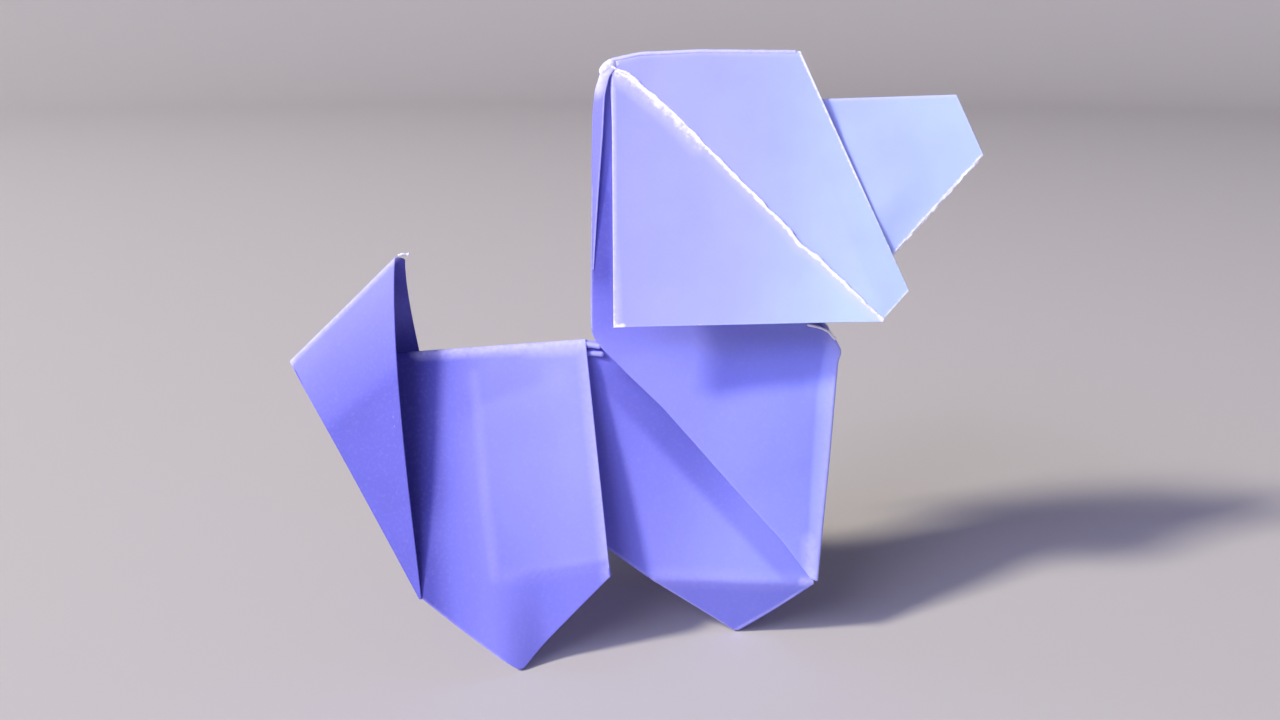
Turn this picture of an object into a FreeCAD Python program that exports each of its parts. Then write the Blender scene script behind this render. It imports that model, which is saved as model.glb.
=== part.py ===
import FreeCAD, Part
import os
import re
import Sketcher
from FreeCAD import Vector

# Origami dog folded from one square of coloured paper.
# +X is the way the dog looks, the ridge of its back lies in the plane y = 0, and z = 0 is the table.
# The near half is folded facet by facet, and the far half is its mirror image.

doc = FreeCAD.newDocument("origami_dog")
cells = doc.addObject("Spreadsheet::Sheet", "Sizes")


# ---- paper: layers pressed flat on each other are one thickness ----
PAPER_SIZES = [
    ("paper", 0.1, "one layer of paper"),
    ("body_layers", 3, "layers in each side of the body"),
    ("tail_layers", 2, "layers in a tail flap"),
    ("neck_layers", 4, "layers in each side of the neck and chest"),
    ("head_layers", 3, "layers in each side of the head"),
    ("ear_layers", 2, "layers in an ear"),
    ("snout_layers", 3, "layers in each side of the snout"),
    ("crease_round", 0.21, "outer radius of a pressed fold"),
    ("slant_round", 0.26, "outer radius of the slanting fold below the chest"),
    ("ridge_round", 0.4, "outer radius of the softer fold along the back and the head"),
    ("spine_round", 0.5, "outer radius of the fold at the back of the neck"),
]

# ---- hind part: a tent on two pointed feet, with its ridge along the back ----
HIND_SIZES = [
    ("hind_x", -14.8, "place of the hind feet along the body"),
    ("hind_lean", 28, "angle of each side from upright"),
    ("hind_pitch", 4.2, "rise of the back towards the neck"),
    ("hind_leg", 46.5, "foot tip to ridge, along the paper"),
    ("back_rear", 31.8, "ridge behind the foot tip"),
    ("back_front", 11.7, "ridge in front of the foot tip"),
    ("hock_rear", 13.2, "rear corner of the foot, behind its tip"),
    ("hock_rear_up", 11.1, "rear corner of the foot, above its tip"),
    ("hock_front", 13.2, "front corner of the foot, ahead of its tip"),
    ("hock_front_up", 12.8, "front corner of the foot, above its tip"),
    ("tail_length", 22.6, "tail spine, from the rump to its tip"),
    ("tail_rise", 43, "angle of the tail spine above level"),
]

# ---- front part: a second tent that comes out of a pleat under the hind part ----
FRONT_SIZES = [
    ("front_x", 16.0, "place of the front feet along the body"),
    ("front_lean", 22, "angle of each side from upright"),
    ("front_pitch", -1, "rise of the front ridge"),
    ("front_side", 33.1, "foot crease to ridge, along the paper"),
    ("paw_depth", 10.1, "foot tip to foot crease"),
    ("paw_tuck", 17.6, "how far the foot tip bends in under the body"),
    ("paw_rear", 12.5, "rear end of the foot crease, behind the tip"),
    ("paw_front", 10.3, "front end of the foot crease, ahead of the tip"),
    ("ridge_front", 14.1, "front end of the ridge, ahead of the foot tip"),
    ("pleat_top", 26.0, "hidden fold of the pleat at the ridge, behind the foot tip"),
    ("pleat_low", 24.0, "hidden fold of the pleat at its lower end, behind the foot tip"),
    ("pleat_low_up", 8.4, "lower end of the hidden fold, above the foot crease"),
]

# ---- neck and chest: a strip turned up along a slanting fold ----
NECK_SIZES = [
    ("neck_x", -4.5, "place of the neck along the body"),
    ("neck_gap", 0.3, "each side of the neck from the middle, at its spine"),
    ("neck_open", 5, "how far each side of the neck opens towards the throat"),
    ("neck_back", 0.9, "spine behind the start of the slanting fold, at the foot of the neck"),
    ("spine_root", 2.5, "spine below the foot of the neck, inside the body"),
    ("neck_bend", 34, "height at which the spine turns in to the head"),
    ("neck_height", 40.8, "height of the neck"),
    ("crest_run", 1.5, "top corner of each side of the neck, ahead of its spine"),
    ("crest_drop", 3.2, "top corner of each side of the neck, below the top of the head"),
    ("nape_run", 8, "front end of the hidden upper edge of the neck"),
    ("nape_drop", 9, "front end of the hidden upper edge, below the top of the head"),
    ("throat_up", 8, "throat edge above the ridge"),
    ("chest_lean", 17.5, "how far the chest flap leans out from the neck"),
    ("chest_start", 1.2, "start of the slanting fold"),
    ("chest_width", 33.2, "neck line to the throat"),
    ("chest_low", 31.2, "neck line to the lower corner of the chest"),
    ("chest_drop", 32.3, "depth of the chest flap below the ridge"),
]

# ---- head: a small tent over the neck, with an ear flap on each side ----
HEAD_SIZES = [
    ("head_x", -2.3, "back of the head along the body"),
    ("head_pitch", 1.8, "rise of the head towards the snout"),
    ("head_lean", 15, "angle of each side of the head from upright"),
    ("crown", 26.0, "ridge of the head"),
    ("cheek_run", 39.9, "front corner of the cheek, ahead of the back of the head"),
    ("cheek_drop", 33.2, "front corner of the cheek below the ridge"),
    ("under_run", 35.7, "lower corner of the head's side, under the ear"),
    ("under_drop", 37.0, "lower corner of the head's side below the ridge"),
    ("ear_run", 36.2, "front corner of the ear"),
    ("ear_drop", 37.1, "front corner of the ear below the ridge"),
    ("ear_back", 0.7, "rear corner of the ear, behind the back of the head"),
    ("ear_open", 2, "how far the ear stands off the head"),
    ("ear_lift", 0.13, "ear's layers outside the head's layers"),
]

# ---- snout: the front of the head, pushed in by a crimp and blunted ----
SNOUT_SIZES = [
    ("snout_x", 27.2, "where the snout ridge comes out of the head"),
    ("snout_down", 5.7, "snout ridge below the back of the head"),
    ("snout_pitch", 2.2, "rise of the snout ridge"),
    ("snout_lean", 9, "angle of each side of the snout from upright"),
    ("snout_length", 18.3, "visible ridge of the snout"),
    ("nose_run", 21.8, "lower corner of the blunt nose"),
    ("nose_drop", 8.4, "depth of the blunt nose"),
    ("jaw_back", 4.3, "hidden lower corner of the snout"),
    ("jaw_drop", 26.0, "hidden lower corner below the snout ridge"),
    ("crimp_back", 6.5, "hidden crimp fold behind the point where the snout comes out"),
    ("nose_tuck", 9, "depth of the tip that is tucked inside the nose"),
]

ALL_SIZES = PAPER_SIZES + HIND_SIZES + FRONT_SIZES + NECK_SIZES + HEAD_SIZES + SNOUT_SIZES
for number, (alias, value, meaning) in enumerate(ALL_SIZES, start=1):
    cells.set(f"A{number}", meaning)
    cells.set(f"B{number}", str(value))
    cells.setAlias(f"B{number}", alias)
doc.recompute()


def size(alias):
    """Value of one driving dimension."""
    return cells.get(alias)


def sized(expression):
    """Expression text with every alias tied to the spreadsheet."""
    def tied(match):
        word = match.group()
        return f"Sizes.{word}" if cells.getCellFromAlias(word) else word
    return re.sub(r"[a-z_]+", tied, expression)


def placed(x, y, z, turns, base=""):
    """Placement expression: an offset, then turns about axes, after another object's placement."""
    rotation = " * ".join(
        f"create(<<rotation>>; create(<<vector>>; {axis}); {sized(angle)})" for axis, angle in turns)
    offset = f"create(<<vector>>; {sized(x)}; {sized(y)}; {sized(z)})"
    own = f"create(<<placement>>; {offset}; {rotation})"
    return f"{base}.Placement * {own}" if base else own


AXIS_ALONG = "1; 0; 0"
AXIS_ACROSS = "0; 1; 0"
AXIS_UP = "0; 0; 1"


def facet(name, corners, layers, placement):
    """Flat facet: its outline drawn in its own plane, and thickened by its layers on both sides."""
    sketch = doc.addObject("Sketcher::SketchObject", name + "_outline")
    count = len(corners)
    start = [Vector(10 * index, index * index, 0) for index in range(count)]
    for index in range(count):
        sketch.addGeometry(Part.LineSegment(start[index], start[(index + 1) % count]), False)
    for index in range(count):
        sketch.addConstraint(Sketcher.Constraint("Coincident", index, 2, (index + 1) % count, 1))
    for index, corner in enumerate(corners):
        for kind, text in zip(("DistanceX", "DistanceY"), corner):
            at = start[index].x if kind == "DistanceX" else start[index].y
            number = sketch.addConstraint(Sketcher.Constraint(kind, -1, 1, index, 1, at))
            sketch.setExpression(f"Constraints[{number}]", sized(text))
    sketch.setExpression("Placement", placement)
    plate = doc.addObject("Part::Extrusion", name)
    plate.Base = sketch
    plate.DirMode = "Normal"
    plate.Solid = True
    plate.Symmetric = True
    plate.setExpression("LengthFwd", sized(f"paper * {layers}"))
    return plate


def corner(name, along, up):
    """Corner of a facet in the part's frame, from its place in the facet's plane."""
    return doc.getObject(name + "_outline").Placement.multVec(Vector(along, up, 0))


def joined(solids):
    """One solid from a few that overlap."""
    if len(solids) == 1:
        return solids[0]
    return solids[0].multiFuse(solids[1:]).removeSplitter().Solids[0]


def gusset(name, rows, layers):
    """Hidden or slanting facet pinned between two folds: triangles set by their corners."""
    thickness = size("paper") * size(layers)
    plates = []
    for first, second, third in rows:
        normal = (second - first).cross(third - first).normalize()
        lift = normal * (-thickness / 2)
        outline = [point + lift for point in (first, second, third, first)]
        face = Part.Face(Part.makePolygon(outline))
        plates.append(face.extrude(normal * thickness))
    piece = doc.addObject("Part::Feature", name)
    piece.Shape = joined(plates)
    return piece


def fold(name, points, radius):
    """Rounded outer edge of a fold that runs through the given points."""
    runs = []
    for begin, end in zip(points, points[1:]):
        way = end - begin
        runs.append(Part.makeCylinder(size(radius), way.Length, begin, way))
    for knee in points[1:-1]:
        runs.append(Part.makeSphere(size(radius), knee))
    piece = doc.addObject("Part::Feature", name)
    piece.Shape = joined(runs)
    return piece


# ---- hind panel, drawn from its foot tip ----
hind_panel = facet(
    "hind_panel",
    [("-back_rear", "hind_leg"), ("back_front", "hind_leg"), ("hock_front", "hock_front_up"),
     ("0", "0"), ("-hock_rear", "hock_rear_up")],
    "body_layers",
    placed("hind_x", "-hind_leg * sin( hind_lean )", "paper * body_layers / 2 * sin( hind_lean )",
           [(AXIS_ACROSS, "-hind_pitch"), (AXIS_ALONG, "90 - hind_lean")]))

# ---- front foot, tucked in under the body, and the front panel above its crease ----
front_foot = facet(
    "front_foot",
    [("0", "0"), ("paw_front", "paw_depth"), ("-paw_rear", "paw_depth")],
    "body_layers",
    placed("front_x", "paw_depth * sin( paw_tuck ) - front_side * sin( front_lean )",
           "paper * body_layers / 2 * sin( paw_tuck )",
           [(AXIS_ACROSS, "-front_pitch"), (AXIS_ALONG, "90 + paw_tuck")]))
front_panel = facet(
    "front_panel",
    [("-paw_rear", "0"), ("paw_front", "0"), ("ridge_front", "front_side"),
     ("-pleat_top", "front_side"), ("-pleat_low", "pleat_low_up")],
    "body_layers",
    placed("0", "paw_depth", "0", [(AXIS_ALONG, "-paw_tuck - front_lean")], "front_foot_outline"))

# ---- neck, upright and slightly open at the throat, and the chest flap below it ----
RIDGE_HEIGHT = "paw_depth * cos( paw_tuck ) + front_side * cos( front_lean )"
neck = facet(
    "neck",
    [("-neck_back", "chest_start"), ("chest_start", "0"), ("chest_width", "0"),
     ("chest_width", "throat_up"), ("nape_run", "neck_height - nape_drop"),
     ("crest_run", "neck_height - crest_drop"), ("-neck_back / 3", "neck_bend")],
    "neck_layers",
    placed("neck_x", "-neck_gap", RIDGE_HEIGHT, [(AXIS_UP, "-neck_open"), (AXIS_ALONG, "90")]))
chest = facet(
    "chest",
    [("chest_start", "0"), ("chest_width", "0"), ("chest_low", "-chest_drop")],
    "neck_layers",
    placed("0", "0", "0", [(AXIS_ALONG, "-chest_lean")], "neck_outline"))

# ---- head panel, and the ear laid over its slanting edge ----
head = facet(
    "head",
    [("0", "0"), ("crown", "0"), ("cheek_run", "-cheek_drop"), ("under_run", "-under_drop")],
    "head_layers",
    placed("head_x", "0", RIDGE_HEIGHT + " + neck_height",
           [(AXIS_ACROSS, "-head_pitch"), (AXIS_ALONG, "90 - head_lean")]))
ear = facet(
    "ear",
    [("0", "0"), ("ear_run", "-ear_drop"), ("-ear_back", "-ear_drop")],
    "ear_layers",
    placed("0", "0", "ear_lift", [(sized("ear_run; -ear_drop; 0"), "-ear_open")], "head_outline"))

# ---- snout, inside the head ----
snout = facet(
    "snout",
    [("-crimp_back", "0"), ("snout_length", "0"), ("nose_run", "-nose_drop"),
     ("jaw_back", "-jaw_drop")],
    "snout_layers",
    placed("snout_x", "0", RIDGE_HEIGHT + " + neck_height - snout_down",
           [(AXIS_ACROSS, "-snout_pitch"), (AXIS_ALONG, "90 - snout_lean")]))
doc.recompute()

# ---- corners where facets of different planes meet ----
rump = corner("hind_panel", -size("back_rear"), size("hind_leg"))
withers = corner("hind_panel", size("back_front"), size("hind_leg"))
hock_front = corner("hind_panel", size("hock_front"), size("hock_front_up"))
hock_rear = corner("hind_panel", -size("hock_rear"), size("hock_rear_up"))
tail_turn = FreeCAD.Rotation(Vector(0, 1, 0), -size("tail_rise"))
tail_tip = rump + tail_turn.multVec(Vector(size("tail_length"), 0, 0))
pleat_top = corner("front_panel", -size("pleat_top"), size("front_side"))
pleat_low = corner("front_panel", -size("pleat_low"), size("pleat_low_up"))
paw_rear = corner("front_panel", -size("paw_rear"), 0)
paw_front = corner("front_panel", size("paw_front"), 0)
breast = corner("front_panel", size("ridge_front"), size("front_side"))
slant_top = corner("chest", size("chest_start"), 0)
chest_top = corner("chest", size("chest_width"), 0)
chest_low = corner("chest", size("chest_low"), -size("chest_drop"))
spine_low = corner("neck", -size("neck_back"), size("chest_start"))
spine_bend = corner("neck", -size("neck_back") / 3, size("neck_bend"))
poll = corner("head", 0, 0)
brow = corner("head", size("crown"), 0)
cheek = corner("head", size("cheek_run"), -size("cheek_drop"))
crimp_top = corner("snout", -size("crimp_back"), 0)
crimp_low = corner("snout", size("jaw_back"), -size("jaw_drop"))
nose_top = corner("snout", size("snout_length"), 0)
nose_low = corner("snout", size("nose_run"), -size("nose_drop"))
nose_inside = Vector(nose_low.x - size("nose_tuck"), 0, nose_low.z)

# ---- facets pinned between two folds ----
tail_flap = gusset("tail_flap", [(rump, hock_rear, tail_tip)], "tail_layers")
pleat = gusset("pleat", [(withers, hock_front, pleat_low), (withers, pleat_low, pleat_top)],
               "body_layers")
throat = gusset("throat", [(chest_top, breast, paw_front), (chest_top, paw_front, chest_low)],
                "body_layers")
crimp = gusset("crimp", [(brow, cheek, crimp_low), (brow, crimp_low, crimp_top)], "head_layers")
nose = gusset("nose", [(nose_top, nose_low, nose_inside)], "snout_layers")

# ---- pressed folds between the facets of each half ----
creases = [
    fold("rear_fold", [rump, hock_rear], "crease_round"),
    fold("front_fold", [withers, hock_front], "crease_round"),
    fold("paw_fold", [paw_rear, paw_front], "crease_round"),
    fold("slant_fold", [slant_top, chest_low], "slant_round"),
    fold("crimp_fold", [brow, cheek], "crease_round"),
    fold("nose_fold", [nose_top, nose_low], "crease_round"),
]

# ---- rounded folds on the middle plane, shared by both halves ----
neck_shift = Vector(0, size("neck_gap"), 0)
spine_root = spine_low + neck_shift - Vector(0, 0, size("spine_root"))
middle_folds = [
    fold("back_ridge", [rump, withers], "ridge_round"),
    fold("front_ridge", [pleat_top, breast], "ridge_round"),
    fold("tail_spine", [rump, tail_tip], "ridge_round"),
    fold("neck_spine", [spine_root, spine_bend + neck_shift, poll], "spine_round"),
    fold("head_ridge", [poll, brow], "ridge_round"),
    fold("snout_ridge", [crimp_top, nose_top], "ridge_round"),
]


def fused(base, tools, name):
    """Add pieces to a solid one after another, as each fold is pressed in turn."""
    for number, tool in enumerate(tools, start=1):
        step = doc.addObject("Part::Fuse", name if number == len(tools) else f"{name}_{number}")
        step.Base = base
        step.Tool = tool
        base = step
    return base


near_half = doc.addObject("Part::MultiFuse", "near_half")
near_half.Shapes = [hind_panel, front_foot, front_panel, neck, chest, head, ear, snout,
                    tail_flap, pleat, throat, crimp, nose] + creases
far_half = doc.addObject("Part::Mirroring", "far_half")
far_half.Source = near_half
far_half.Base = Vector(0, 0, 0)
far_half.Normal = Vector(0, 1, 0)
folded_sheet = fused(near_half, [far_half] + middle_folds, "folded_sheet")
doc.recompute()

for item in doc.Objects:
    if {"Invalid", "Error"} & set(item.State):
        raise RuntimeError(f"{item.Name} failed: {item.State}")
shape = folded_sheet.Shape
if shape.isNull() or not shape.isValid():
    raise RuntimeError("folded_sheet has no valid shape")
if len(shape.Solids) != 1:
    raise RuntimeError(f"folded_sheet is {len(shape.Solids)} solids")

os.makedirs("parts", exist_ok=True)
shape.exportStep(f"parts/{folded_sheet.Label}.step")
box = shape.BoundBox
print(f"folded_sheet {shape.Volume:.0f} mm3, x {box.XMin:.2f} {box.XMax:.2f}, "
      f"y {box.YMin:.2f} {box.YMax:.2f}, z {box.ZMin:.2f} {box.ZMax:.2f}")
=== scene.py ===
import bpy
import numpy as np
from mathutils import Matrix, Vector


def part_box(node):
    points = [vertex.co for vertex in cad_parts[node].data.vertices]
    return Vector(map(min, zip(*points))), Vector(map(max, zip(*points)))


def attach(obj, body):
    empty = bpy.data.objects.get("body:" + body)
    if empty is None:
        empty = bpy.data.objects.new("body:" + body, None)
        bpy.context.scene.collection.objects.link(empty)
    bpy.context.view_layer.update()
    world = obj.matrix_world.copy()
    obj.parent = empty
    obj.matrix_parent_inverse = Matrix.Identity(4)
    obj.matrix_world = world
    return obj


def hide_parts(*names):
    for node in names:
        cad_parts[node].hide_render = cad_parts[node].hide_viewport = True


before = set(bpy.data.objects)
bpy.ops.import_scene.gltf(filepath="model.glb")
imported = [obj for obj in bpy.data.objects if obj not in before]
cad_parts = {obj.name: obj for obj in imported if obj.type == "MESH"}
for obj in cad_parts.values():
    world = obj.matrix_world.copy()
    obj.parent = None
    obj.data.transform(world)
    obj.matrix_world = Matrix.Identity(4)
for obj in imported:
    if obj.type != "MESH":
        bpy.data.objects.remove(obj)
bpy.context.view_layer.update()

# ---- Hind part ----
# One square of dyed paper makes the whole dog. Its rear half is folded to this tent, three layers
# thick, on two pointed feet. The ridge is pinched by hand and rounds off towards the withers.
MM = 0.001
LAYER = 0.1
RUMP_REACH = 49.8
box_low, box_high = (np.array(corner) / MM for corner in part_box("folded_sheet"))
SHEET_ORIGIN = np.array([box_low[0] + RUMP_REACH, (box_low[1] + box_high[1]) / 2, box_low[2]])
MIRROR = np.array([1.0, -1.0, 1.0])
REACH_LIMIT = 0.45
WAVE_LENGTHS = np.geomspace(11, 34, 6)
WAVE_RISE = 0.0028
RIDGE_FADE = 2.0


def at(x, y, z):
    """Point x mm ahead of the sheet's origin, y mm to the dog's left and z mm above the table."""
    return np.array([x, y, z], float)


def stations(count, crowd=0.95):
    """Places from 0 to 1 that crowd towards both ends: t - crowd * sin(2 pi t) / (2 pi)."""
    t = np.linspace(0, 1, count)
    return t - crowd * np.sin(2 * np.pi * t) / (2 * np.pi)


def along(points, where, round_off=0.0):
    """Polyline read at places 0 to 1 of its length.

    Each reading is the mean of nine, spread over round_off of the length to each side, which
    softens the corners."""
    points = np.array(points, float)
    steps = np.linalg.norm(np.diff(points, axis=0), axis=1)
    reached = np.concatenate([[0], np.cumsum(steps)]) / steps.sum()
    spread = np.minimum(round_off, np.minimum(where, 1 - where))
    places = where[:, None] + np.linspace(-1, 1, 9) * spread[:, None]
    return np.stack([np.interp(places, reached, points[:, axis]).mean(axis=1) for axis in range(3)], axis=1)


def bend(lines, reaches, counts):
    """Strip of paper bent at each fold line, as a grid of points.

    Between two lines it runs straight. At a fold it turns along a parabola that touches both
    facets at its reach from the fold: the turn grows as (t + reach)^2 / (4 reach). The reach is
    never more than REACH_LIMIT of either facet."""
    lines = np.array(lines, float)
    ways = np.diff(lines, axis=0)
    lengths = np.linalg.norm(ways, axis=2)
    units = ways / lengths[:, :, None]
    starts = np.concatenate([np.zeros((1, lengths.shape[1])), np.cumsum(lengths, axis=0)])
    runs = [starts[k][:, None] + lengths[k][:, None] * stations(counts[k])[min(k, 1):]
            for k in range(len(counts))]
    travel = np.concatenate(runs, axis=1)
    grid = lines[0][:, None, :] + units[0][:, None, :] * travel[:, :, None]
    for k, reach in enumerate(reaches, start=1):
        short = np.minimum(reach, REACH_LIMIT * np.minimum(lengths[k - 1], lengths[k]))[:, None]
        past = travel - starts[k][:, None]
        ramp = np.where(past > short, past, np.clip(past + short, 0, None) ** 2 / (4 * short))
        grid = grid + (units[k] - units[k - 1])[:, None, :] * ramp[:, :, None]
    return grid


def from_line(points, line):
    """Distance in mm of every point from a polyline: the least of its distances from the runs."""
    nearest = np.full(points.shape[:-1], np.inf)
    for start, end in zip(line[:-1], line[1:]):
        way = end - start
        reached = np.clip(((points - start) @ way) / (way @ way), 0, 1)
        nearest = np.minimum(nearest, np.linalg.norm(points - start - reached[..., None] * way, axis=-1))
    return nearest


def below(points, start, end):
    """Side view of a line: how far each point lies below it in mm, and how far along it, 0 to 1."""
    way = (end - start)[[0, 2]]
    gone = points[..., [0, 2]] - start[[0, 2]]
    length = np.hypot(*way)
    return (gone[..., 0] * way[1] - gone[..., 1] * way[0]) / length, (gone @ way) / length ** 2


def step(values, low, high):
    """Smooth step from 0 at low to 1 at high: 3 t^2 - 2 t^3."""
    t = np.clip((values - low) / (high - low), 0, 1)
    return t * t * (3 - 2 * t)


def crease(line, depth, reach):
    """Soft crease: a push of depth * (1 - d / reach)^2 at the distance d from its line."""
    return lambda near: depth * np.clip(1 - from_line(near, line) / reach, 0, 1) ** 2


def turned_in(start, end, slope, soft, fade):
    """Paper turned in below a line: slope * (s + sqrt(s^2 + soft^2)) / 2 at s mm below it.

    It fades in between the two places along the line that fade gives."""
    def push(near):
        under, place = below(near, start, end)
        return slope * (under + np.sqrt(under ** 2 + soft ** 2)) / 2 * step(place, *fade)
    return push


def waver(near):
    """Handled paper is never quite flat: the sum of six sine waves, each WAVE_RISE of its length high."""
    turns, phases = np.random.default_rng(11).uniform(0, 2 * np.pi, (2, len(WAVE_LENGTHS)))
    gone = near[..., [0]] * np.cos(turns) + near[..., [2]] * np.sin(turns)
    return (WAVE_RISE * WAVE_LENGTHS * np.sin(2 * np.pi * gone / WAVE_LENGTHS + phases)).sum(axis=-1)


def pushed(grid, *pushes):
    """Grid whose points move towards the mid plane by the sum of the pushes.

    Each push is a function of the place on the near side, and the far side is a mirror of it.
    They fade out over the last RIDGE_FADE mm before the mid plane, so the ridge stays put."""
    near = grid.copy()
    near[..., 1] = -np.abs(grid[..., 1])
    amount = sum(push(near) for push in pushes) * step(-near[..., 1], 0, RIDGE_FADE)
    moved = grid.copy()
    moved[..., 1] -= np.sign(grid[..., 1]) * amount
    return moved


def normals(grid):
    """Unit normals of a grid of points: the cross product of its two directions."""
    raw = np.cross(np.gradient(grid, axis=0), np.gradient(grid, axis=1))
    return raw / np.maximum(np.linalg.norm(raw, axis=-1, keepdims=True), 1e-12)


def border(grid):
    """Distance in mm of every point from the nearest edge of its grid, measured along the grid."""
    nearest = np.full(grid.shape[:2], np.inf)
    for axis in (0, 1):
        steps = np.linalg.norm(np.diff(grid, axis=axis), axis=-1)
        run = np.concatenate([0 * np.take(steps, [0], axis=axis), np.cumsum(steps, axis=axis)], axis=axis)
        nearest = np.minimum(nearest, np.minimum(run, np.take(run, [-1], axis=axis) - run))
    return nearest


def skin(grid, layers):
    """Closed skin of paper about a grid: two faces half the thickness out, with rounded edges.

    The half thickness follows a circle near the border, so both faces meet there.
    Gives the points, the faces and, for each point, its number in the grid."""
    half = layers * LAYER / 2
    inset = np.clip(border(grid) / half, 0, 1)
    lift = normals(grid) * (half * np.sqrt(1 - (1 - inset) ** 2))[:, :, None]
    rows, columns = grid.shape[:2]
    front = np.arange(rows * columns).reshape(rows, columns)
    inside = np.zeros((rows, columns), bool)
    inside[1:-1, 1:-1] = True
    back = front.copy()
    back[inside] = rows * columns + np.arange(inside.sum())
    points = np.concatenate([(grid + lift).reshape(-1, 3), (grid - lift)[inside]])
    quads = [np.stack([side[:-1, :-1], side[1:, :-1], side[1:, 1:], side[:-1, 1:]], axis=-1).reshape(-1, 4)
             for side in (front, back)]
    source = np.concatenate([np.arange(rows * columns), np.flatnonzero(inside)])
    return points, np.concatenate([quads[0], quads[1][:, ::-1]]), source


def line_marks(points, lines):
    """Mark at every point: the most that any line gives, strength * (1 - distance / width)."""
    most = np.zeros(len(points))
    for line, width, strength in lines:
        most = np.maximum(most, strength * np.clip(1 - from_line(points, line) / width, 0, 1))
    return most


def facet(grid, layers, tint, worn_and_lit=(), white=(), both=True):
    """Skins of one facet and, if both, of its mirror image.

    tint is a function of the points, and worn and white are lists of (line, width, strength)."""
    points, faces, source = skin(grid, layers)
    flat = grid.reshape(-1, 3)[source]
    near = flat.copy()
    near[:, 1] = -np.abs(flat[:, 1])
    marks = {"tint": tint(flat), "worn_and_lit": line_marks(near, worn_and_lit), "white": line_marks(near, white)}
    skins = [(points, faces, marks)]
    return skins + [(points * MIRROR, faces[:, ::-1], marks)] if both else skins


def new_piece(name, skins):
    """One object from several skins, each given as (points, faces, marks); marks are values per point."""
    counts = np.cumsum([0] + [len(points) for points, _, _ in skins])
    points = (np.concatenate([part[0] for part in skins]) + SHEET_ORIGIN) * MM
    faces = np.concatenate([part[1] + first for part, first in zip(skins, counts)])
    mesh = bpy.data.meshes.new(name)
    mesh.vertices.add(len(points))
    mesh.vertices.foreach_set("co", points.ravel())
    mesh.loops.add(faces.size)
    mesh.loops.foreach_set("vertex_index", faces.ravel().astype(np.int32))
    mesh.polygons.add(len(faces))
    mesh.polygons.foreach_set("loop_start", np.arange(0, faces.size, 4, dtype=np.int32))
    mesh.polygons.foreach_set("loop_total", np.full(len(faces), 4, np.int32))
    mesh.update(calc_edges=True)
    mesh.shade_smooth()
    for key in ("tint", "worn_and_lit", "white"):
        layer = mesh.attributes.new(key, "FLOAT", "POINT")
        layer.data.foreach_set("value", np.concatenate([part[2][key] for part in skins]).astype(np.float32))
    piece = bpy.data.objects.new(name, mesh)
    bpy.context.scene.collection.objects.link(piece)
    mesh.materials.append(paper)
    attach(piece, "root")
    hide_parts("folded_sheet")


def linear(hex_colour):
    """Linear RGBA of an sRGB hex colour."""
    srgb = np.array([int(hex_colour[i:i + 2], 16) for i in (1, 3, 5)]) / 255
    rgb = np.where(srgb <= 0.04045, srgb / 12.92, ((srgb + 0.055) / 1.055) ** 2.4)
    return (*rgb, 1.0)


def add_node(tree, kind, inputs=(), **settings):
    """Add a node with its settings, and give each input, by name or number, a value or a link."""
    node = tree.nodes.new(kind)
    for key, value in settings.items():
        setattr(node, key, value)
    for socket, value in dict(inputs).items():
        if isinstance(value, bpy.types.NodeSocket):
            tree.links.new(value, node.inputs[socket])
        else:
            node.inputs[socket].default_value = value
    return node


# Tint 0 to 1 runs from the deepest painted shade through the violet of the paper to sky blue.
DYE_AND_SHADE_RAMP = {0.1: "#7271cd", 0.25: "#8483de", 0.5: "#a0a2f5", 0.75: "#b4b6f9", 1.0: "#cbdafb"}
DEEPEST_PAINTED_SHADE = "#4f4ca6"
BLUER_AHEAD = "#f5ffff"
BLUER_OVER = 25
CLOUD_SIZE = 8.0
FLECK_SIZE = 0.5
FRAY_SIZE = 0.7
TUFT_SIZE = 0.25
FIBRE_SIZE = 0.3


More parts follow.
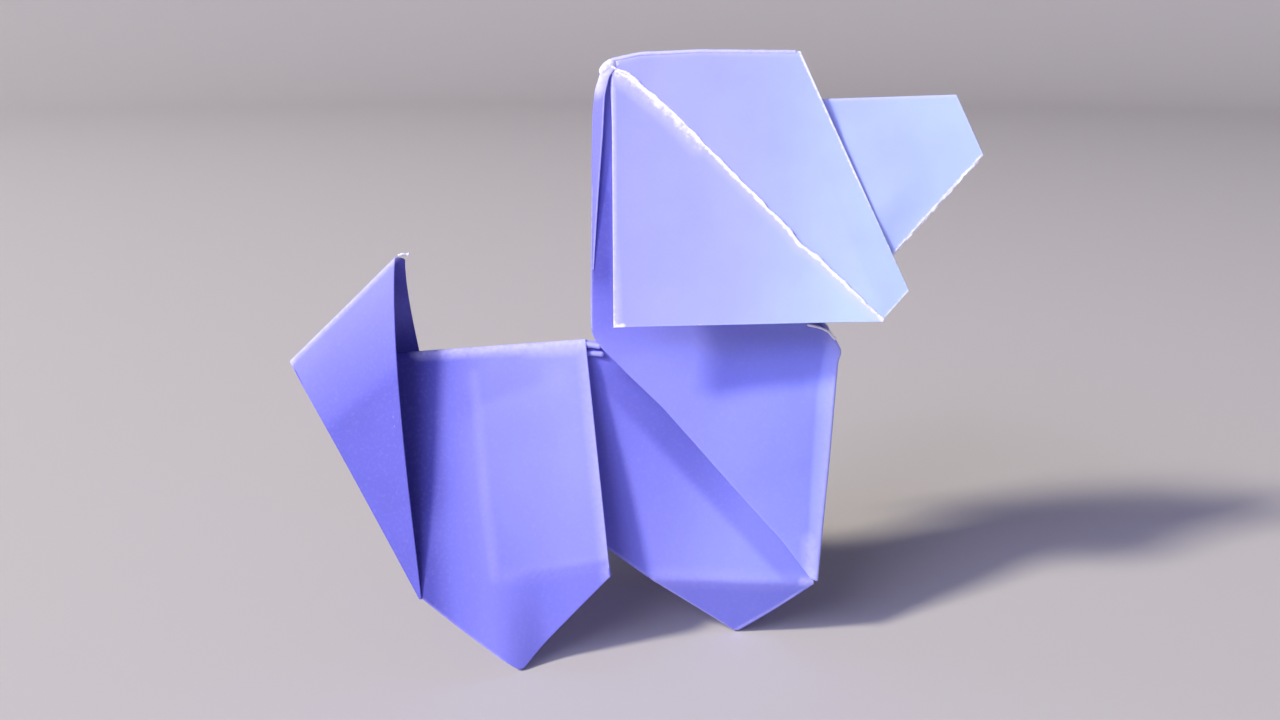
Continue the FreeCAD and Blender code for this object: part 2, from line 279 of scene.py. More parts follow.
def dyed_paper():
    """Wood-pulp craft paper, dyed through and uncoated.

    It is matt, with a faint mottle of fibres, and its colour runs a little bluer towards the head.
    Where it is rubbed it goes paler, and where it is torn or cut its fibres stand up white and
    ragged. A fibre is about 0.03 mm across, too fine to show, so it is drawn FIBRE_SIZE mm across.
    The tint mark holds how deeply the paper is dyed together with painted shade: darker in hollows,
    in creases, under flaps, on the turned-in feet, towards the table and down the tail. The pale and
    white marks are rubbing and, along a few folds, a painted highlight where the fold catches the
    light. All of this stays under any light."""
    material = bpy.data.materials.new("dyed_wood_pulp_paper")
    material.use_nodes = True
    tree = material.node_tree
    tree.nodes.clear()
    place = add_node(tree, "ShaderNodeTexCoord").outputs["Object"]
    tint, worn_and_lit, white = (add_node(tree, "ShaderNodeAttribute", attribute_name=key).outputs["Fac"]
                         for key in ("tint", "worn_and_lit", "white"))

    def grain(size, detail, low, high, most=1.0):
        """Noise with blots size mm across: 0 where it is under low, most where it is over high."""
        blots = {"Vector": place, "Scale": 1 / (size * MM), "Detail": detail}
        noise = add_node(tree, "ShaderNodeTexNoise", blots).outputs["Fac"]
        return add_node(tree, "ShaderNodeMapRange", {0: noise, 1: low, 2: high, 4: most}).outputs["Result"]

    ramp = add_node(tree, "ShaderNodeValToRGB", {"Fac": tint})
    stops = ramp.color_ramp.elements
    stops.remove(stops[-1])
    stops[0].color = linear(DEEPEST_PAINTED_SHADE)
    for depth, colour in DYE_AND_SHADE_RAMP.items():
        stops.new(depth).color = linear(colour)

    ahead = add_node(tree, "ShaderNodeSeparateXYZ", {0: place}).outputs["X"]
    head_way = {0: ahead, 1: SHEET_ORIGIN[0] * MM, 2: (SHEET_ORIGIN[0] + BLUER_OVER) * MM}
    bluer = add_node(tree, "ShaderNodeMapRange", head_way).outputs["Result"]
    dye_and_shade = add_node(tree, "ShaderNodeMix", {0: bluer, 6: ramp.outputs["Color"], 7: linear(BLUER_AHEAD)},
                   data_type="RGBA", blend_type="MULTIPLY").outputs[2]

    # The pale of rubbing, with painted highlight along some folds, covers 0.7 to 1.2 times the mark. White
    # fibres, with a painted white highlight on the ear's rear fold, begin where half the same noise plus the
    # white mark passes 0.55, so that they end unevenly.
    frayed = grain(FRAY_SIZE, 4, 0.3, 0.7)
    patchy = add_node(tree, "ShaderNodeMath", {0: frayed, 1: 0.5, 2: 0.7}, operation="MULTIPLY_ADD")
    rubbed = add_node(tree, "ShaderNodeMath", {0: worn_and_lit, 1: patchy.outputs[0]}, operation="MULTIPLY")
    ragged = add_node(tree, "ShaderNodeMath", {0: frayed, 1: 0.5, 2: white}, operation="MULTIPLY_ADD")
    torn = add_node(tree, "ShaderNodeMapRange", {0: ragged.outputs[0], 1: 0.55, 2: 1.0}).outputs["Result"]
    clouds = grain(CLOUD_SIZE, 3, 0.35, 0.65, 0.10)
    flecks = grain(FLECK_SIZE, 3, 0.5, 0.75, 0.05)
    coats = ((clouds, "#7574e6"), (flecks, "#cfcdff"), (rubbed.outputs[0], "#dcd8ff"), (torn, "#f8f5fd"))
    for cover, colour in coats:
        coat = {0: cover, 6: dye_and_shade, 7: linear(colour)}
        dye_and_shade = add_node(tree, "ShaderNodeMix", coat, data_type="RGBA").outputs[2]

    heights = {0: torn, 1: grain(TUFT_SIZE, 3, 0.2, 0.8), 2: grain(FIBRE_SIZE, 3, 0.0, 1.0)}
    fibres = add_node(tree, "ShaderNodeMath", heights, operation="MULTIPLY_ADD").outputs[0]
    bump = add_node(tree, "ShaderNodeBump", {"Height": fibres, "Strength": 0.15, "Distance": 0.05 * MM})
    surface = add_node(tree, "ShaderNodeBsdfPrincipled",
                       {"Base Color": dye_and_shade, "Normal": bump.outputs["Normal"], "Roughness": 0.7, "IOR": 1.45,
                        "Specular IOR Level": 0.3})
    add_node(tree, "ShaderNodeOutputMaterial", {"Surface": surface.outputs["BSDF"]})
    return material


def shade(base, x_rise=0.0, z_rise=0.0, middle=(0.0, 40.0)):
    """Tint, 0 violet to 1 sky blue, for how deeply the paper is dyed and for painted shade: a base value and
    a slope per 100 mm along x and z.
    """
    return lambda points: np.clip(base + x_rise * (points[:, 0] - middle[0]) / 100
                                  + z_rise * (points[:, 2] - middle[1]) / 100, 0, 1)


paper = dyed_paper()
BODY_LAYERS = 3
ACROSS = stations(180)
FLANK_ROWS = 105
RIDGE_LIFT = 0.44
RUMP = at(-49.5, 0, 38.5)
WITHERS = at(-6.2, 0, 41.8)
HOCK_REAR = at(-28.7, -16.5, 8.8)
HOCK_FRONT = at(-2.3, -16.1, 11.8)
HIND_TOE = at(-14.8, -21.9, 0.25)
TOE_CREASE = [at(-17.1, -15.7, 11.5), at(-2.9, -15.1, 13.7)]
FLANK_CREASE = [at(-22.0, -2.0, 36.9), at(-19.9, -10.6, 20.8), at(-18.3, -15.6, 11.5)]
BELLY_CREASE = [at(-8.9, -6.1, 30.1), at(-3.0, -6.0, 30.9)]
DENT = [at(-21.3, -4.2, 32.9), at(-16.0, -3.3, 34.5), at(-12.2, -2.6, 35.8)]
# Tint at places along the flank: painted shade that deepens towards the tail, where the flap's shadow falls.
FLANK_PLACES = (-30, -27, -20, -13, -8)
FLANK_TINTS = (0.06, 0.11, 0.33, 0.38, 0.44)

# Rounding lowers a ridge by RIDGE_LIFT of its reach, so the fold line lies as much higher.
ridge_reach = 1.0 + 2.0 * ACROSS
hind_ridge = along([RUMP, WITHERS], ACROSS) + at(0, 0, RIDGE_LIFT) * ridge_reach[:, None]
hind_hem = along([HOCK_REAR, HIND_TOE, HIND_TOE + at(0.6, 0, 0.05), HOCK_FRONT], ACROSS, 0.006)
hind = bend([hind_hem, hind_ridge, hind_hem * MIRROR], [ridge_reach], [FLANK_ROWS, FLANK_ROWS])
hind = pushed(hind, waver, crease(FLANK_CREASE, -0.09, 2.0), crease(DENT, 0.45, 4.2),
              crease(BELLY_CREASE, 0.14, 2.4), turned_in(*TOE_CREASE, 0.2, 0.5, (-0.15, 0.35)))
hind_worn = [([at(-30, 0, 40.6), WITHERS], 2.2, 0.9),
             ([at(-14, 0, 42.0), WITHERS + at(2, 0, 0.5)], 3.2, 0.85),
             ([RUMP, RUMP + at(1, 0, 0)], 1.6, 1.0), (FLANK_CREASE, 1.2, 0.15), (TOE_CREASE, 1.5, 0.08),
             ([WITHERS, HOCK_FRONT], 1.8, 0.35), ([HOCK_REAR, HIND_TOE, HOCK_FRONT], 0.3, 0.35)]


def flank_tint_and_shade(points):
    """Tint read along the flank, less steps for the tail's root, the lower half and the foot.

    All of it is painted shade: deepest beside the tail, where the flap's shadow falls, and darker
    towards the table, on the foot and in the foot's crease."""
    pale = np.interp(points[:, 0], FLANK_PLACES, FLANK_TINTS)
    pale -= 0.06 * step(points[:, 2], 16, 24) * step(-points[:, 0], 22, 27)
    under, place = below(points, *TOE_CREASE)
    foot = step(under, -0.4, 0.4) * step(place, -0.1, 0.3)
    line = np.clip(1 - np.abs(under) / 0.7, 0, 1) * step(place, 0, 0.3)
    return np.clip(pale - 0.11 * step(-points[:, 2], -32, -6) - 0.12 * foot - 0.10 * line, 0, 1)


new_piece("hind_tent", facet(hind, BODY_LAYERS, flank_tint_and_shade, hind_worn, both=False))

# ---- Tail ----
# Two flaps turned back over the rump and left standing, joined along a soft spine.
# They are two layers thick with raw cut edges, and the far one ends in a blunt, frayed tip.
TAIL_LAYERS = 2
FLAP_ROWS = 100
TAIL_TIP = at(-33.0, 0, 54.0)
TAIL_BOW = 0.8
TAIL_SWELL = 1.4
FAR_BOW = 0.8
TIP_WIDTH = 1.5
# Painted shade on the far flap, where the near flap shades it: a share off its tint, more at its tip.
FAR_FLAP_SHADE = 0.55
FAR_TIP_SHADE = 0.35
spine = along([RUMP, TAIL_TIP], ACROSS) + at(0, 0, 0.35)
near_foot = along([HOCK_REAR + at(-0.25, -0.25, 0), HOCK_REAR + at(0.1, -0.3, 0)], ACROSS)
tail = bend([near_foot, spine, near_foot * MIRROR], [0.8], [FLAP_ROWS, FLAP_ROWS])

# Towards its free edge each flap bows back by a sine of the way down and swells outwards by
# another, and the far one's tip is drawn forwards by TIP_WIDTH mm to a blunt end.
down = np.concatenate([1 - stations(FLAP_ROWS), stations(FLAP_ROWS)[1:]])
towards_edge = ACROSS[:, None] ** 3
far_side = np.arange(len(down)) >= FLAP_ROWS
tail[:, :, 0] -= TAIL_BOW * (1 + FAR_BOW * far_side) * towards_edge * np.sin(np.pi * down ** 0.6)
tail[:, :, 1] += np.sign(tail[:, :, 1]) * TAIL_SWELL * towards_edge * np.sin(np.pi * down)
blunt = far_side * step(down, 0, 0.035) * (1 - down) ** 0.7 * ACROSS[:, None] ** 8
tail += at(TIP_WIDTH, 0.3, 0.6) * blunt[:, :, None]
tail = pushed(tail, waver)
tail_worn = [([RUMP, TAIL_TIP + at(0, 0, 0.3)], 1.1, 0.75), ([RUMP, RUMP + at(0.6, 0, 0.5)], 1.1, 1.0)]
tail_white = [([TAIL_TIP, at(-32.9, -8.0, 33.0), HOCK_REAR], 0.22, 0.6)]


def tail_tint_and_shade(points):
    """The tint deepens evenly towards the free edge and the hock, as painted shade.

    The far flap's is less by a share, most of all at its tip, as painted shade where the near flap shades it."""
    near_flap = np.maximum(shade(0.20, -1.6, 1.9, (-43, 37))(points), 0.05)
    deeper = (FAR_FLAP_SHADE + FAR_TIP_SHADE * step(points[:, 2], 44, 50)) * step(points[:, 1], 0, 0.5)
    return near_flap * (1 - deeper)


new_piece("tail_flaps", facet(tail, TAIL_LAYERS, tail_tint_and_shade, tail_worn, tail_white, both=False))

FRAY_LENGTHS = np.geomspace(0.5, 6.0, 7)
TIP_LEFT = 0.04


def bead(points, radius, tint=0.5, worn_and_lit=0.0, white=0.0, ragged=0.0, seed=0, both=True, count=160, sides=12):
    """Rounded fold or frayed edge: a tube along a polyline, whose ends close as half rounds.

    Near an end its radius falls to TIP_LEFT of the given one as sqrt(1 - (1 - d / radius)^2).
    Where it is ragged, sums of seven sine waves swell it and sway it from side to side."""
    path = along(points, stations(count, 0.9), 0.01)
    way = np.gradient(path, axis=0)
    way /= np.linalg.norm(way, axis=1, keepdims=True)
    side = np.cross(way, [0, 1, 0])
    side /= np.linalg.norm(side, axis=1, keepdims=True)
    up = np.cross(way, side)
    run = np.concatenate([[0], np.cumsum(np.linalg.norm(np.diff(path, axis=0), axis=1))])
    inset = np.clip(np.minimum(run, run[-1] - run) / radius, 0, 1)
    phases = np.random.default_rng(seed).uniform(0, 2 * np.pi, (2, len(FRAY_LENGTHS)))
    turns = run[:, None] * 2 * np.pi / FRAY_LENGTHS
    fray = (np.sin(turns + phases[0]) * FRAY_LENGTHS ** 0.3).sum(axis=1) / 4
    sway = (np.sin(turns + phases[1]) * FRAY_LENGTHS ** 0.5).sum(axis=1) / 4
    size = radius * (TIP_LEFT + (1 - TIP_LEFT) * np.sqrt(1 - (1 - inset) ** 2)) * (1 + ragged * fray)
    path = path + side * (ragged * radius * 0.8 * sway * inset)[:, None]
    angle = np.linspace(0, 2 * np.pi, sides, endpoint=False)[None, :, None]
    ring = np.cos(angle) * side[:, None, :] + np.sin(angle) * up[:, None, :]
    flat = (path[:, None, :] + ring * np.maximum(size, 0.01)[:, None, None]).reshape(-1, 3)
    number = np.arange(count * sides).reshape(count, sides)
    following = np.roll(number, -1, axis=1)
    tube = np.stack([number[:-1], following[:-1], following[1:], number[1:]], axis=-1).reshape(-1, 4)
    half = np.arange(1, sides // 2)
    lid = np.stack([half - 1, half, sides - half - 1, sides - half], axis=-1) % sides
    faces = np.concatenate([tube, lid[:, ::-1], lid + (count - 1) * sides])
    marks = {key: np.full(len(flat), float(value))
             for key, value in (("tint", tint), ("worn_and_lit", worn_and_lit), ("white", white))}
    skins = [(flat, faces, marks)]
    return skins + [(flat * MIRROR, faces[:, ::-1], marks)] if both else skins


frayed_tip = [TAIL_TIP + at(0.2, 0.1, 0.25), TAIL_TIP + at(1.0, 0.3, 0.4), TAIL_TIP + at(1.8, 0.6, 0.3)]
new_piece("tail_fray", bead(frayed_tip, 0.2, white=1, ragged=0.3, seed=2, both=False))

# ---- Front part ----
# A second tent comes out of a pleat behind the withers, its paws turned in to short points.
# Below the slanting fold of the chest it is pressed in, so a soft hollow runs along that fold.
PLEAT_TOP = at(-10.0, 0, 40.7)
BREAST = at(30.0, 0, 40.2)
PLEAT_LOW = at(-8.1, -6.8, 16.2)
PAW_REAR = at(3.5, -10.8, 9.3)
PAW_FRONT = at(26.6, -12.3, 9.2)
FRONT_TOE = at(15.6, -9.3, 0.25)
SLANT_TOP = at(-4.0, -0.9, 41.0)
CHEST_LOW = at(26.1, -12.8, 9.9)
HOLLOW_WIDTH = 4.2
HOLLOW_NARROWS = 1.2
HOLLOW_SLOPE = 0.45
HOLLOW_SOFT = 0.25
HOLLOW_AT_TOP = 0.4
HOLLOW_AT_PAW = 0.1
# Tint of the turned-in paw, lower than the panel's: painted shade.
PAW_SHADE_TINT = 0.22
PLEAT_ROWS = 60


def hollow(near):
    """Push in between the slanting fold and a line HOLLOW_WIDTH mm below it, which nears it.

    At s mm above that line it is slope * (s + sqrt(s^2 + soft^2)) / 2. At the fold's ends it fades
    to HOLLOW_AT_TOP and HOLLOW_AT_PAW of that."""
    under, place = below(near, SLANT_TOP, CHEST_LOW)
    into = HOLLOW_WIDTH - HOLLOW_NARROWS * place - np.clip(under, -0.5, None)
    push = HOLLOW_SLOPE * (into + np.sqrt(into ** 2 + HOLLOW_SOFT ** 2)) / 2
    at_paw = 1 - step(place, 0.45, 1.0) * (1 - HOLLOW_AT_PAW)
    return push * at_paw * (HOLLOW_AT_TOP + (1 - HOLLOW_AT_TOP) * step(place, 0, 0.3))


front_ridge = along([PLEAT_TOP, BREAST], ACROSS) + at(0, 0, 0.4)
paw_crease = along([PLEAT_LOW, PAW_REAR, PAW_FRONT], ACROSS, 0.004)
paw_hem = along([PLEAT_LOW + at(0.1, 0, -0.2), PAW_REAR + at(0, 0.1, -0.2), FRONT_TOE,
                 FRONT_TOE + at(0.8, 0, 0.05), PAW_FRONT + at(0.1, 0.1, -0.3)], ACROSS, 0.004)
front = bend([paw_hem, paw_crease, front_ridge, paw_crease * MIRROR, paw_hem * MIRROR],
             [0.8, 1.2, 0.8], [40, 80, 80, 40])
front = pushed(front, waver, hollow)
# The pale band along the paw's crease is painted highlight where the fold catches the light; the other paw
# lines are rubbing.
front_worn_and_lit = [([PAW_REAR, PAW_FRONT], 2.0, 0.12), ([PLEAT_LOW, PAW_REAR], 0.3, 0.2),
              ([PAW_REAR, FRONT_TOE, PAW_FRONT], 0.3, 0.4),
              ([PAW_FRONT, PAW_FRONT + at(-1.5, 0, 0)], 1.2, 0.6)]


def front_tint_and_shade(points):
    """Tint read across the panel, darker towards the pleat as painted shade beside the hind part, less a step
    of painted shade in the hollow, and a lower tint, painted shade, on the turned-in paw.
    """
    under, place = below(points, SLANT_TOP, CHEST_LOW)
    band = 1 - step(under + HOLLOW_NARROWS * place, HOLLOW_WIDTH - 0.6, HOLLOW_WIDTH + 0.6)
    paw = step(PAW_REAR[2] - points[:, 2], -0.3, 0.6)
    panel = np.interp(points[:, 0] - 0.4 * points[:, 2], (-14, -6, 10), (0.14, 0.20, 0.41))
    deeper = (0.03 + 0.11 * step(place, 0.1, 0.5)) * band
    return np.clip((panel - deeper) * (1 - paw) + PAW_SHADE_TINT * paw, 0, 1)


new_piece("front_tent", facet(front, BODY_LAYERS, front_tint_and_shade, front_worn_and_lit, both=False))
pleat_end = along([WITHERS + at(-0.4, -0.3, -0.3), HOCK_FRONT], ACROSS)
pleat = bend([along([PLEAT_TOP, PLEAT_LOW], ACROSS), pleat_end], [], [PLEAT_ROWS])
new_piece("pleat", facet(pleat, BODY_LAYERS, shade(0.15)))

# ---- Neck and chest ----
# The strip that was folded up at a slant: four layers, closed behind and open at the throat, where
# its edge turns out as a pale lip with one corner rolled over so that the raw edge shows white.
# Its foot ends in two rolled tabs at the withers, and a narrow flap wraps the nape.
NECK_LAYERS = 4
UPWARD = stations(190, 0.9)
CORNER_SHARE = 0.008
NAPE = [SLANT_TOP, at(-4.9, -0.6, 42.2), at(-5.3, -0.5, 43.6), at(-5.3, -0.4, 47.7), at(-4.9, -0.3, 67.8),
        at(-4.6, -0.3, 74.4), at(-4.1, -0.2, 77.2), at(-3.3, -0.2, 79.2), at(-2.0, -0.2, 80.6)]
NECK_TOP = at(22.0, -2.2, 66.0)
SLANT_EDGE = [CHEST_LOW, at(22.2, -10.8, 14.8), at(16.6, -8.3, 20.5), at(5.2, -4.0, 32.5),
              at(-0.3, -2.2, 37.4)]
CHEST_FOLD = [CHEST_LOW + at(0.1, 0, 0), at(25.1, -11.9, 13.5), at(26.2, -8.3, 25.0), at(27.0, -5.6, 34.8),
              at(28.0, -3.8, 40.6), at(27.6, -3.2, 42.8), at(26.4, -3.1, 43.8), at(24.6, -3.0, 44.6),
              NECK_TOP]
THROAT_EDGE = [CHEST_LOW + at(0.9, -0.1, -0.3), at(30.0, -4.2, 39.9), at(30.5, -4.0, 41.0),
               at(29.7, -3.5, 42.6), at(28.7, -3.3, 43.8), at(27.4, -3.2, 44.4), at(25.6, -3.0, 44.7),
               NECK_TOP + at(0.6, 0.2, 0)]
THROAT_BACK = [PAW_FRONT + at(-0.2, 1.0, 0), BREAST + at(-0.5, -0.3, -0.5), BREAST + at(-0.3, -1.5, 0.5),
               at(29.3, -2.9, 42.5), at(28.3, -2.8, 43.6), at(27.2, -2.8, 44.2), at(25.4, -2.7, 44.5),
               NECK_TOP + at(0.3, 0.5, 0)]
chest_lines = [along(line, UPWARD, CORNER_SHARE)
               for line in ([*SLANT_EDGE, *NAPE], CHEST_FOLD, THROAT_EDGE, THROAT_BACK)]
chest = bend(chest_lines, [0.9, 0.3], [84, 16, 22])

# It sinks in under the ear, swells a little above the paw, and is dented under the throat.
chest = pushed(chest, waver, crease([at(3, -3, 44), at(13, -3, 40)], 1.8, 15.0),
               crease([at(18, -8, 26), at(24, -8, 26)], -0.4, 9.0),
               crease([at(16, -5, 38), at(25, -5, 37)], 0.7, 7.0))
chest_worn = [(NAPE[2:], 0.45, 0.45), ([*SLANT_EDGE, SLANT_TOP], 0.4, 0.12), (THROAT_EDGE[:4], 2.2, 0.3),
              ([at(26.4, -12.6, 10.5), at(26.2, -11.9, 15.2)], 2.0, 0.5)]


def chest_tint_and_shade(points):
    """One tint on the chest, with steps paler on the throat's lip, painted shade down the nape, and painted
    light at the nape's top near the poll, a little lighter than the chest.
    """
    x, z = points[:, 0], points[:, 2]
    nape = step(-x, 0, 3) * (0.10 * step(z, 41, 46) + 0.17 * step(z, 46, 52) - 0.30 * step(z, 62, 72))
    fold = np.interp(z, (10, 25, 34.8, 40.6, 42.8), (25.4, 26.1, 26.9, 27.9, 28.6))
    lip = step(x - fold, -0.3, 0.5) * (1 - step(z, 41.5, 43.5))
    return np.clip(0.32 - nape + 0.16 * lip, 0, 1)


new_piece("neck_and_chest", facet(chest, NECK_LAYERS, chest_tint_and_shade, chest_worn))
rolled_edge = [at(25.6, -3.0, 44.8), at(27.4, -3.3, 44.45), at(28.7, -3.4, 43.85), at(29.7, -3.6, 42.7)]
new_piece("throat_roll", bead(rolled_edge, 0.2, 0.7, white=1, ragged=0.1, seed=5))

WRAP_LAYERS = 2
WRAP_ROWS = 24
WRAP_EDGE = [at(-4.8, -0.7, 52.3), at(-4.0, -1.1, 63.1), at(-3.3, -1.5, 71.6), at(-3.0, -1.6, 76.8),
             at(-2.4, -1.3, 79.2), at(-1.5, -0.8, 80.4)]
WRAP_FOLD = [at(-5.05, -0.3, 52.3), at(-5.0, -0.3, 60.0), at(-4.95, -0.3, 67.8), at(-4.75, -0.3, 74.4),
             at(-4.4, -0.3, 77.4), at(-3.6, -0.3, 79.8), at(-2.4, -0.3, 81.1)]
wrap = bend([along(WRAP_FOLD, ACROSS, 0.02), along(WRAP_EDGE, ACROSS, 0.02)], [], [WRAP_ROWS])
wrap_worn = [([at(-4.2, -0.3, 78.0), at(-2.4, -0.3, 81.1)], 2.2, 0.9), (WRAP_EDGE, 0.3, 0.4)]
new_piece("nape_wrap", facet(wrap, WRAP_LAYERS, shade(0.27), wrap_worn))
upper_tab = bead([at(-6.4, -0.3, 41.3), at(-3.8, -0.7, 41.0)], 0.42, 0.5, worn_and_lit=0.3)
lower_tab = bead([at(-6.2, -0.6, 40.0), at(-3.4, -1.0, 39.9)], 0.40, 0.4, worn_and_lit=0.2)
new_piece("withers_tabs", upper_tab + lower_tab)

# ---- Head ----
# A small tent that sits over the top of the neck, three layers thick, open below and in front.
# Its ridge arches, and the paper is rubbed white where the head was pinched at the poll.
HEAD_LAYERS = 3
HEAD_ROWS = 105
HEAD_REACH = 0.8
HEAD_LIFT = 0.48
POLL = at(-2.4, 0, 81.2)
BROW = at(23.7, 0, 82.4)
CHEEK = at(38.6, -8.6, 50.9)
EAR_FRONT = at(35.0, -10.2, 47.1)
EAR_REAR = at(-1.8, -10.3, 46.2)
head_ridge = along([POLL, at(1.8, 0, 82.0), at(10.0, 0, 82.4), BROW], ACROSS, 0.05)
head_ridge = head_ridge + at(0, 0, HEAD_LIFT * HEAD_REACH)
head_hem = along([EAR_REAR + at(0.8, 0.3, 0.6), EAR_FRONT + at(0, 0.2, 0.1), CHEEK], ACROSS, 0.004)
head = bend([head_hem, head_ridge, head_hem * MIRROR], [HEAD_REACH], [HEAD_ROWS, HEAD_ROWS])
head = pushed(head, waver)
head_tint = shade(0.72, 1.0, 0, (14, 70))
head_worn = [([POLL, at(1.8, 0, 82.2), at(10.0, 0, 82.6), BROW], 0.9, 0.4)]
head_white = [([BROW, CHEEK], 0.4, 1.0), ([CHEEK, EAR_FRONT], 0.6, 1.0),
              ([POLL, POLL + at(0.8, 0, 0.2)], 1.3, 1.0)]
ridge_roll = [POLL + at(0.2, 0, 0.1), at(1.8, 0, 82.15), at(10.0, 0, 82.5), BROW + at(-0.4, 0, 0)]
new_piece("ridge_roll", bead(ridge_roll, 0.33, 0.8, worn_and_lit=0.6, ragged=0.04, seed=7, both=False))
poll_pinch = [at(-3.5, 0, 79.3), at(-2.7, 0, 80.4), at(-1.5, 0, 81.2)]
new_piece("poll_pinch", bead(poll_pinch, 0.8, 0.6, worn_and_lit=0.9, white=0.4, both=False, sides=32))
new_piece("head_tent", facet(head, HEAD_LAYERS, head_tint, head_worn, head_white, both=False))

# ---- Ears ----
# A flap of two layers lies over each side of the head. Its slanting edge was torn, not cut, so
# white fibres stand along it, with one jog where the tear changed course.
EAR_LAYERS = 2
EAR_ROWS = 210
EAR_RISE = stations(112)
OFF_HEAD = at(0, -0.28, 0)
TORN = [at(-2.1, -0.4, 80.5), at(0.4, -0.8, 79.4), at(6.7, -2.3, 74.1), at(10.0, -3.3, 70.8),
        at(22.3, -6.7, 58.9), at(23.6, -7.2, 57.1), at(24.6, -7.4, 56.5), at(26.4, -7.8, 55.1), EAR_FRONT]
torn_line = np.array(TORN) + OFF_HEAD
ear_rear = EAR_REAR + OFF_HEAD
ear_front = EAR_FRONT + OFF_HEAD
ear = bend([along([ear_rear, torn_line[0]], EAR_RISE),
            along([ear_front + at(-0.05, 0, -0.1), ear_front + at(-0.1, 0, 0.05)], EAR_RISE)], [], [EAR_ROWS])

# The upper edge moves from a straight line to the torn one, by the square of the share risen.
tear = np.interp(ear[:, :, 0], torn_line[:, 0], torn_line[:, 2])
straight = np.interp(ear[:, :, 0], torn_line[[0, -1], 0], torn_line[[0, -1], 2])
share = ((ear[:, :, 2] - EAR_REAR[2]) / np.maximum(straight - EAR_REAR[2], 0.5)).clip(0, 1) ** 2
ear_lean = (TORN[0][1] - EAR_REAR[1]) / (TORN[0][2] - EAR_REAR[2])
ear += at(0, ear_lean, 1) * ((tear - straight) * share)[:, :, None]
ear = pushed(ear, waver)
ear_foot = [ear_rear, ear_rear + at(1.2, 0, 0.1)]
hem_nick = [at(9.0, -10.5, 46.5), at(10.4, -10.5, 46.6)]
# The pale and white line down the ear's rear fold is partly rubbing and partly painted highlight where the
# fold catches the light.
ear_worn_and_lit = [([torn_line[0], ear_rear], 0.7, 0.9), ([at(-1.9, -6.0, 58.0), ear_rear], 1.4, 0.8),
            ([ear_rear, ear_front], 0.3, 0.3), (torn_line[:2], 2.8, 0.9), (torn_line[:4], 2.6, 0.75),
            (torn_line, 1.6, 0.5)]
ear_white_and_lit = [(torn_line, 0.6, 1.0), (torn_line[:4], 1.5, 0.75), (ear_foot, 0.7, 1.0),
             ([at(-2.0, -6.0, 58.0), ear_rear], 0.5, 0.85), (hem_nick, 0.3, 0.5), (torn_line[:2], 1.2, 1.0)]
new_piece("ears", facet(ear, EAR_LAYERS, shade(0.65, 1.1, -0.3, (8, 62)), ear_worn_and_lit, ear_white_and_lit))
torn_fibres = torn_line + at(0, -0.06, 0.05)
new_piece("torn_edges", bead(torn_fibres, 0.18, 0.8, white=1, ragged=0.3, seed=4, count=400))

# ---- Snout ----
# The front of the head is pushed in by a crimp and stands out again, narrower.
# Its tip is folded inside to a blunt nose, and its lower edges are raw.
SNOUT_LAYERS = 3
SNOUT_ROWS = 90
SNOUT_SWELL = 0.6
NOSE_LAYERS = 2
NOSE_ROWS = 20
CRIMP_TOP = at(20.7, 0, 75.8)
NOSE_TOP = at(45.5, 0, 76.6)
NOSE_LOW = at(49.2, -2.4, 68.7)
JAW = at(32.5, -7.6, 51.2)


def swell(near):
    """Push out by SNOUT_SWELL mm where the snout leaves the head, in smooth steps.

    It falls to nothing 13 mm ahead of the head's edge, at the ridge and at the raw edge."""
    under, place = below(near, BROW, CHEEK)
    past_edge, _ = below(near, JAW, NOSE_LOW)
    return -SNOUT_SWELL * step(under, -13, -0.4) * step(place, 0.2, 0.4) * (1 - step(past_edge, -6, 0))


snout_ridge = along([CRIMP_TOP, NOSE_TOP], ACROSS) + at(0, 0, 0.2)
snout_hem = along([JAW, NOSE_LOW], ACROSS)
snout = bend([snout_hem, snout_ridge, snout_hem * MIRROR], [0.45], [SNOUT_ROWS, SNOUT_ROWS])
snout = pushed(snout, waver, swell)
snout_tint = shade(0.90, 0.6, 0, (42, 70))
snout_worn = [([CRIMP_TOP, NOSE_TOP], 0.5, 0.45), ([NOSE_TOP, NOSE_LOW], 0.4, 0.5)]
snout_white = [([JAW, NOSE_LOW], 0.6, 1.0)]
new_piece("snout", facet(snout, SNOUT_LAYERS, snout_tint, snout_worn, snout_white, both=False))
raw_edge = [JAW + at(0.1, 0, 0), NOSE_LOW + at(-0.1, 0, -0.05)]
new_piece("snout_fray", bead(raw_edge, 0.13, 0.9, white=1, ragged=0.6, seed=9, count=300))
nose = bend([along([NOSE_TOP + at(-0.2, 0, -0.2), NOSE_LOW + at(-0.3, 0.1, 0)], ACROSS),
             along([NOSE_TOP + at(-3.4, 0, -5.0), NOSE_LOW * at(1, 0, 1) + at(-3.0, 0, -0.5)], ACROSS),
             along([NOSE_TOP + at(-0.2, 0, -0.2), NOSE_LOW * MIRROR + at(-0.3, -0.1, 0)], ACROSS)],
            [0.3], [NOSE_ROWS, NOSE_ROWS])
new_piece("nose", facet(nose, NOSE_LAYERS, shade(0.9), both=False))
head_mouth = along([BROW + at(-0.3, 0, -0.5), CHEEK + at(-0.4, 0.3, 0)], ACROSS)
crimp = bend([along([CRIMP_TOP, JAW], ACROSS), head_mouth], [], [PLEAT_ROWS])
new_piece("crimp", facet(crimp, HEAD_LAYERS, shade(0.8)))

# ---- Stage ----
# A pale matt board that rises to a low rim far off on every side. A window of light stands high on
# the left, with a wide glow round it, a weak light in front and a dim room all round.
FLAT_REACH, RIM_REACH = 1.3, 0.9
RINGS = 24
SPOKES = 96

# Painted board has no gloss, so the dog's shadow lies soft on it and nothing is mirrored.
board = bpy.data.materials.new("matt_grey_board")
board.use_nodes = True
board_surface = board.node_tree.nodes["Principled BSDF"]
board_surface.inputs["Base Color"].default_value = linear("#cdc6bd")
board_surface.inputs["Roughness"].default_value = 0.85

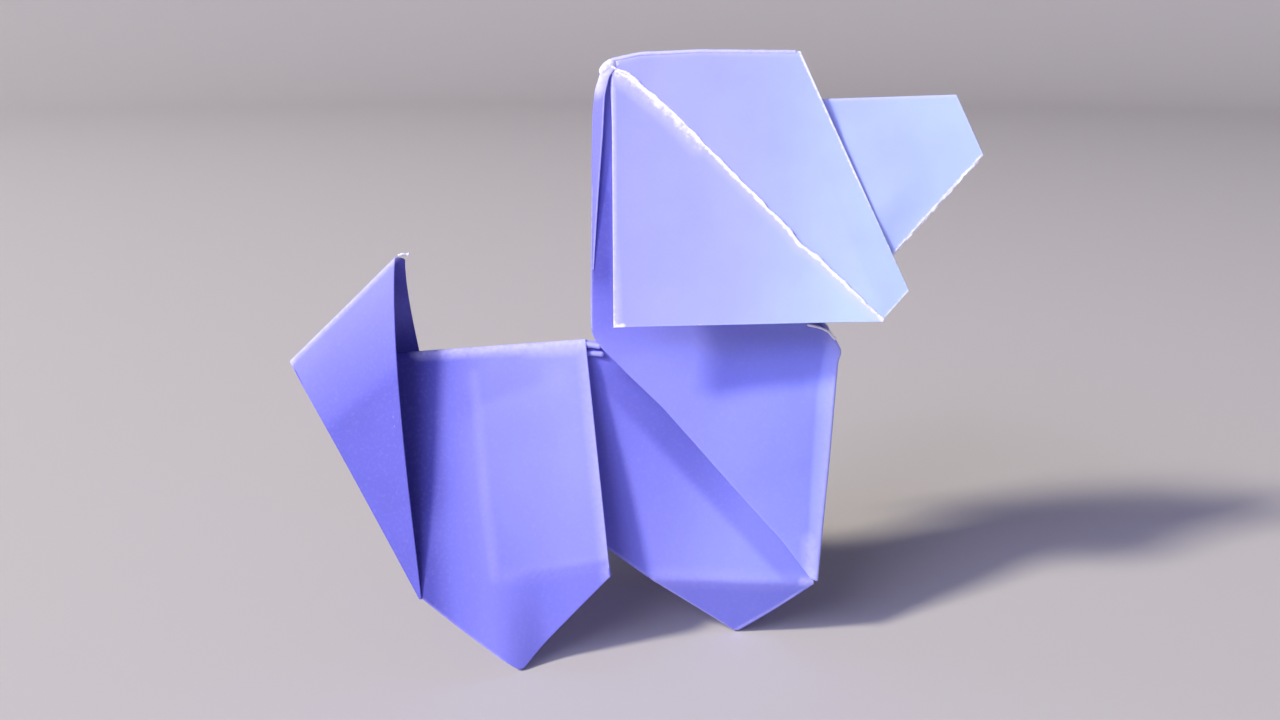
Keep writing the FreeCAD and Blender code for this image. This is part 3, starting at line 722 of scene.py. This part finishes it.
# The profile is flat as far as FLAT_REACH metres and goes on as a quarter circle of RIM_REACH metres.
quarter = np.linspace(0, np.pi / 2, RINGS)
reach = np.concatenate([np.linspace(0.01, FLAT_REACH, RINGS)[:-1], FLAT_REACH + RIM_REACH * np.sin(quarter)])
rise = np.concatenate([np.zeros(RINGS - 1), RIM_REACH * (1 - np.cos(quarter))])
turn = np.linspace(0, 2 * np.pi, SPOKES + 1)[:-1, None]
rings = np.stack([reach * np.cos(turn), reach * np.sin(turn), rise + 0 * turn], axis=-1)
number = np.arange(rings.shape[0] * rings.shape[1]).reshape(rings.shape[:2])
following = np.roll(number, -1, axis=0)
quads = np.stack([number[:, :-1], number[:, 1:], following[:, 1:], following[:, :-1]], axis=-1).reshape(-1, 4)
floor_mesh = bpy.data.meshes.new("board")
floor_mesh.from_pydata((rings.reshape(-1, 3) + SHEET_ORIGIN * MM).tolist(), [],
                       quads.tolist() + [number[:, 0].tolist()])
floor_mesh.shade_smooth()
floor_mesh.materials.append(board)
floor = bpy.data.objects.new("board", floor_mesh)
bpy.context.scene.collection.objects.link(floor)

LAMP_DISTANCE = 3.0
middle = Vector((SHEET_ORIGIN + at(0, 0, 40)) * MM)


def lamp(name, towards, size, watts, colour):
    """Square area light that shines along the given way onto the middle of the dog."""
    light = bpy.data.lights.new(name, "AREA")
    light.shape = "SQUARE"
    light.size = size
    light.energy = watts
    light.color = linear(colour)[:3]
    holder = bpy.data.objects.new(name, light)
    way = Vector(towards).normalized()
    holder.location = middle - way * LAMP_DISTANCE
    holder.rotation_euler = way.to_track_quat("-Z", "Y").to_euler()
    bpy.context.scene.collection.objects.link(holder)


lamp("window", (1.8, 1.0, -1.7), 0.42, 84.0, "#fffcee")
lamp("window_glow", (1.1, 1.2, -0.7), 2.3, 132.0, "#c2c8ff")
lamp("room_front", (-0.2, 1.0, -0.25), 2.5, 29.0, "#9aa0ff")
world = bpy.data.worlds.new("studio")
world.use_nodes = True
world.node_tree.nodes["Background"].inputs["Color"].default_value = linear("#b4baff")
world.node_tree.nodes["Background"].inputs["Strength"].default_value = 0.12
bpy.context.scene.world = world
bpy.context.scene.view_settings.view_transform = "Standard"

CAMERA_PLACE = at(1.8, -176.28, 86.02)
CAMERA_TILT = 75
CAMERA_LENS = 35.156
camera_data = bpy.data.cameras.new("camera")
camera_data.lens = CAMERA_LENS
camera_data.sensor_width = 36
camera = bpy.data.objects.new("camera", camera_data)
camera.location = Vector((SHEET_ORIGIN + CAMERA_PLACE) * MM)
camera.rotation_euler = (np.radians(CAMERA_TILT), 0, 0)
bpy.context.scene.collection.objects.link(camera)
bpy.context.scene.camera = camera
